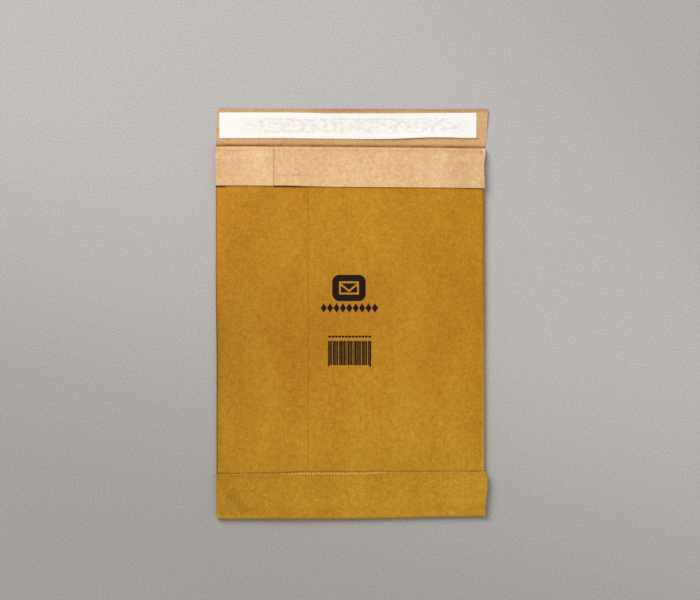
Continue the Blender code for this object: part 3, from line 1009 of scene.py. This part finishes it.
def fibre_wadding():
    """Macerated paper fibre: grey-brown tufts with paler and darker scraps."""
    paper = Surface("fibre_wadding")
    tuft = paper.grain(2.4, 5.0, 0.7, warp=1.2)
    strand = paper.grain(0.5, 4.0, 0.7, (0.5, 3.0, 1.0), 0.5, 1.0)
    colour = paper.tint(rgb(128, 118, 106), rgb(198, 188, 172), tuft)
    colour = paper.tint(colour, rgb(92, 88, 88), paper.between(strand, 0.6, 0.75) * 0.5)
    return paper.finish(colour, 0.9 + strand * 0.1, tuft + strand * 0.5, 0.4 * MM)


def release_paper():
    """The liner: white coated paper, through which the uneven adhesive shows faintly."""
    paper = Surface("release_paper")
    blot = paper.grain(2.6, 3.0, 0.6, (1.6, 0.9, 1.0))
    fine = paper.grain(1.1, 3.0, 0.6)
    x, y = paper.across_and_along()
    middle = paper.between(y, 131.5 * MM, 134.5 * MM) - paper.between(y, 143 * MM, 146 * MM)
    inner = paper.between(x, -90 * MM, -60 * MM) - paper.between(x, 78 * MM, 90 * MM)
    ghost = paper.between(blot * 0.6 + fine * 0.4, 0.42, 0.62) * middle * inner
    colour = paper.tint(rgb(250, 247, 241), rgb(222, 212, 205), ghost * 0.75)
    return paper.finish(colour, 0.34 + fine * 0.12, fine + blot, 0.03 * MM)


def glue_film():
    """Dried glue between two sheets."""
    film = Surface("glue_film")
    pull = film.grain(1.2, 3.0, 0.6, (0.6, 3.0, 1.0))
    colour = film.tint(rgb(206, 184, 142), rgb(226, 210, 176), pull)
    return film.finish(colour, 0.25 + pull * 0.3, pull, 0.05 * MM)


def ink():
    """Printing ink on kraft: nearly black, thinner where the paper's fibres stand up."""
    print_ink = Surface("print_ink")
    thin = print_ink.between(print_ink.grain(0.5, 4.0, 0.7), 0.58, 0.8)
    wash = print_ink.grain(7, 3.0, 0.6)
    colour = print_ink.tint(rgb(22, 12, 9), rgb(44, 26, 14), wash)
    colour = print_ink.tint(colour, rgb(150, 100, 34), thin * 0.2)
    print_ink.feed(print_ink.shader.inputs["Specular IOR Level"], 0.12)
    return print_ink.finish(colour, 0.62 + thin * 0.2, thin, 0.02 * MM)


def floor_finish():
    """The floor: plain pale grey, with painted shade: a little darker towards the picture's lower edge and its
    upper right.
    """
    floor = Surface("studio_floor")
    fine = floor.grain(1.3, 2.0, 0.5)
    x, y = floor.across_and_along()
    # Painted shade towards the lower edge
    lower = floor.between(y + 0.38 * x, 80 * MM, -240 * MM)
    colour = floor.tint(rgb(160, 157, 154), rgb(208, 205, 202), fine)
    colour = floor.tint(colour, floor.tint(rgb(138, 134, 130), rgb(180, 176, 171), fine), lower)
    # Painted shade towards the upper right
    upper_right = floor.between(x + y, 215 * MM, 430 * MM)
    colour = floor.tint(colour, rgb(240, 240, 241), upper_right, "MULTIPLY")
    return floor.finish(colour, 0.9 + fine * 0.05, fine, 0.02 * MM)


def build_plies(golden, natural, cut):
    """Both kraft plies, each one sheet from the turn-up's edge to the cuff's and the flap's."""
    columns = web_columns(LAP_TOP_EDGE, LAP_UNDER_EDGE)
    rows = web_rows()
    faces = [golden, natural, cut]
    outer = web_sheet("outer_ply_sheet", columns, rows, outer_depth, outer_peek, faces, PLY, pinked=0.0)
    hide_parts("outer_ply")
    faces = [natural, natural, cut]
    inner = web_sheet("inner_ply_sheet", columns, rows, inner_depth, inner_peek, faces, PLY, pinked=0.37)
    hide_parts("inner_ply")


def build_padding(wadding):
    """The fibre blanket between the plies, folded round both sides of the pocket."""
    pad_over = LAP_UNDER_EDGE - LAP_RAMP - PAD_FROM_LAP
    pad_under = LAP_TOP_EDGE + GAP + LAP_RAMP + PAD_FROM_LAP
    columns = web_columns(pad_over, pad_under)
    length = POCKET_LENGTH - 2 * WALL
    rows = body_rows(PAD_FROM_BOTTOM / length, 1 - PAD_FROM_MOUTH / length)
    blanket = web_sheet("fibre_blanket", columns, rows, padding_depth, no_peek, [wadding], PADDING - GAP)
    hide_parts("fibre_padding")


def build_seam_glue(film):
    """The lap's line of glue, along the whole tube and both folds."""
    ends = (LAP_UNDER_EDGE + SEAM_FROM_EDGE, LAP_TOP_EDGE - SEAM_FROM_EDGE)
    line = clipped(front_line(FRONT_STEP), *ends)
    columns = [Column("over", x, math.pi / 2) for x in reversed(line)]
    rows = web_rows()[1:-1]
    seam = web_sheet("seam_glue_film", columns, rows, seam_depth, no_peek, [film], GLUE)
    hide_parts("seam_glue")


def glue_band(name, node, start, end, fold_of, film):
    """A band of glue on the front panel, from one distance to another past the fold beside it."""
    columns = clipped(front_line(FRONT_STEP), BAND_FROM_SIDE - HALF, HALF - BAND_FROM_SIDE)
    stations = divided([start, end], ROW_STEP)

    def place_of(x, at):
        y = fold_of(x) + at
        return Vector((x, y, front_top(x, y) + GAP + GLUE / 2))

    shape = grid(columns, stations, place_of)[0]
    thicken(shape, GLUE)
    band = finish(name, shape, [film])
    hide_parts(node)


def build_bands(film):
    """The glue under the turn-up and under the cuff."""
    far = TURN_UP_DEPTH - BAND_FROM_EDGE
    glue_band("turn_up_glue_film", "bottom_glue", far - BAND_WIDTH, far, bottom_line, film)
    far = CUFF_DEPTH - BAND_FROM_EDGE
    glue_band("cuff_glue_film", "cuff_glue", -far, BAND_WIDTH - far, mouth_line, film)


def liner_rise(x, y):
    """How far the liner stands off its adhesive: its lower edge bows up at the right."""
    low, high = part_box("release_liner")
    from_top = (high.y - y) / (high.y - low.y)
    bow = past(x, 5, 45) * before(x, 96, 30)
    lift = (0.35 + 0.6 * bow) * MM * smooth((from_top - 0.5) / 0.5)
    return lift + 0.06 * MM * (1 + ripple(x, y, 22, 12.0))


def no_rise(x, y):
    """Flat on what it lies on."""
    return 0.0


def flap_strip(name, node, inset, base, thickness, material, rise_of):
    """A strip along the flap, over the CAD strip that it replaces."""
    low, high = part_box("release_liner")
    low.y = LINER_LOW
    high.x += LINER_EXTRA
    columns = divided([low.x + inset, high.x - inset], FRONT_STEP)
    rows = divided([low.y + inset, high.y - inset], STRIP_STEP)

    def place_of(x, y):
        wave = liner_wave(x, (y - low.y) / (high.y - low.y))
        height = TWO_PLY + flap_lift(x, y) + base + rise_of(x, y)
        return Vector((x, y + wave, height + thickness / 2))

    shape = grid(columns, rows, place_of)[0]
    thicken(shape, thickness)
    strip = finish(name, shape, [material])
    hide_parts(node)


def build_closure(film, liner):
    """The flap's adhesive and the liner over it."""
    flap_strip("adhesive_strip", "seal_adhesive", ADHESIVE_INSET, GAP, GLUE, film, no_rise)
    flap_strip("liner_strip", "release_liner", 0.0, GLUE_ROOM, LINER, liner, liner_rise)


def rectangle(left, low, width, height):
    """The corners of a rectangle, anticlockwise."""
    return [(left, low), (left + width, low), (left + width, low + height), (left, low + height)]


def rounded_rectangle(centre, width, height, radius):
    """The outline of a rectangle with rounded corners, anticlockwise."""
    outline = []
    for quarter, (right, up) in enumerate([(1, 1), (-1, 1), (-1, -1), (1, -1)]):
        middle = (centre.x + right * (width / 2 - radius), centre.y + up * (height / 2 - radius))
        for k in range(9):
            angle = (quarter + k / 8) * math.pi / 2
            outline.append((middle[0] + radius * math.cos(angle), middle[1] + radius * math.sin(angle)))
    return outline


def envelope_sign(centre, width, height, line):
    """An envelope drawn in outline: a frame and two strokes that meet under its middle."""
    left, right = centre.x - width / 2, centre.x + width / 2
    low, high = centre.y - height / 2, centre.y + height / 2
    strips = [
        rectangle(left, low, width, line),
        rectangle(left, high - line, width, line),
        rectangle(left, low + line, line, height - 2 * line),
        rectangle(right - line, low + line, line, height - 2 * line),
    ]
    tip = high - line - height * 0.5
    for side, sign in ((left + line, 1), (right - line, -1)):
        stroke = [(side, high - line), (side, high - 2.3 * line)]
        stroke += [(centre.x, tip - 1.3 * line), (centre.x, tip)]
        strips.append(stroke if sign > 0 else stroke[::-1])
    return strips


def diamonds(centre, count, pitch, width, height):
    """A row of diamonds."""
    row = []
    for k in range(count):
        x = centre.x + (k - (count - 1) / 2) * pitch
        right, left = (x + width / 2, centre.y), (x - width / 2, centre.y)
        top, bottom = (x, centre.y + height / 2), (x, centre.y - height / 2)
        row.append([right, top, left, bottom])
    return row


def lay_print(name, outlines, above, material):
    """Flat areas of print, cut into small faces and laid on the front."""
    shape = bmesh.new()
    for outline in outlines:
        shape.faces.new([shape.verts.new((x, y, 0.0)) for x, y in outline])
    for axis, reach in ((Vector((1, 0, 0)), 24 * MM), (Vector((0, 1, 0)), 45 * MM)):
        steps = int(reach / PRINT_STEP)
        for k in range(-steps, steps + 1):
            geom = shape.verts[:] + shape.edges[:] + shape.faces[:]
            at = axis * (k * PRINT_STEP + 0.3 * MM)
            bmesh.ops.bisect_plane(shape, geom=geom, plane_co=at, plane_no=axis)
    for vertex in shape.verts:
        vertex.co.z = front_top(vertex.co.x, vertex.co.y) + above
    thicken(shape, INK)
    mark = finish(name, shape, [material])


def build_print(black, paper):
    """A plain printed device on the front: an envelope sign, diamonds, dashes and a block of bars."""
    sign = Vector((-0.85, 18.9)) * MM
    dark = [rounded_rectangle(sign, width=24.6 * MM, height=19.3 * MM, radius=5.2 * MM)]
    middle = Vector((-0.6, 4.2)) * MM
    dark += diamonds(middle, count=9, pitch=4.7 * MM, width=4.5 * MM, height=6.9 * MM)
    for k in range(13):
        left = (-16.0 + 2.45 * k) * MM
        dark.append(rectangle(left, low=-17.5 * MM, width=1.95 * MM, height=1.35 * MM))
    dark += bar_block(left=-16.3 * MM, low=-37.8 * MM, width=31.6 * MM, height=17.8 * MM)
    lay_print("front_print", dark, above=0.03 * MM, material=black)
    light = envelope_sign(sign, width=14.6 * MM, height=9.6 * MM, line=1.35 * MM)
    lay_print("front_print_lines", light, above=0.05 * MM, material=paper)


def bar_block(left, low, width, height):
    """A block of upright bars of three widths, in an even rhythm, with longer bars at its ends."""
    unit = width / BAR_UNITS
    bars = []
    at = 0
    step = 0
    while at < BAR_UNITS:
        wide = min(BAR_RHYTHM[step % len(BAR_RHYTHM)], BAR_UNITS - at)
        if step % 2 == 0:
            at_end = at == 0 or at + wide == BAR_UNITS
            drop = END_DROP if at_end else 0.0
            bars.append(rectangle(left + at * unit, low - drop, (wide + BAR_SPREAD) * unit, height + drop))
        at += wide
        step += 1
    return bars


def build_stage():
    """A plain floor, a soft key light from the upper left, a fill and a pale surround."""
    shape = bmesh.new()
    bmesh.ops.create_grid(shape, x_segments=1, y_segments=1, size=2.5)
    mesh = bpy.data.meshes.new("floor")
    shape.to_mesh(mesh)
    shape.free()
    mesh.materials.append(floor_finish())
    floor = put("floor", mesh)
    lamp("key_light", at=(-1.6, 1.85, 2.45), size=2.1, power=90)
    lamp("fill_light", at=(0.5, -0.5, 3.2), size=2.6, power=20)
    world = bpy.context.scene.world or bpy.data.worlds.new("surround")
    bpy.context.scene.world = world
    world.use_nodes = True
    background = world.node_tree.nodes["Background"]
    background.inputs["Color"].default_value = (1.0, 1.0, 1.0, 1.0)
    background.inputs["Strength"].default_value = 0.36
    bpy.context.scene.view_settings.view_transform = "Standard"


def lamp(name, at, size, power):
    """A square soft light that faces the envelope."""
    light = bpy.data.lights.new(name, "AREA")
    light.size = size
    light.energy = power
    holder = put(name, light)
    holder.location = at
    holder.rotation_euler = (-Vector(at)).to_track_quat("-Z", "Y").to_euler()


def build_camera():
    """A camera straight above, framed on the photograph's 700 by 600 pixels."""
    pixel = 0.736 * MM
    picture_width = 700 * pixel
    height = 2.2
    measured_at = 5 * MM
    data = bpy.data.cameras.new("camera")
    data.sensor_width = 36.0
    data.lens = data.sensor_width * (height - measured_at) / picture_width
    data.clip_end = 20
    camera = put("camera", data)
    camera.location = (-0.1 * MM, 10.05 * MM, height)
    bpy.context.scene.camera = camera


build_camera()
build_stage()
golden_face = golden_kraft()
natural_face = natural_kraft()
film_face = glue_film()
build_plies(golden_face, natural_face, cut_paper())
build_padding(fibre_wadding())
build_seam_glue(film_face)
build_bands(film_face)
build_closure(film_face, release_paper())
build_print(ink(), golden_face)
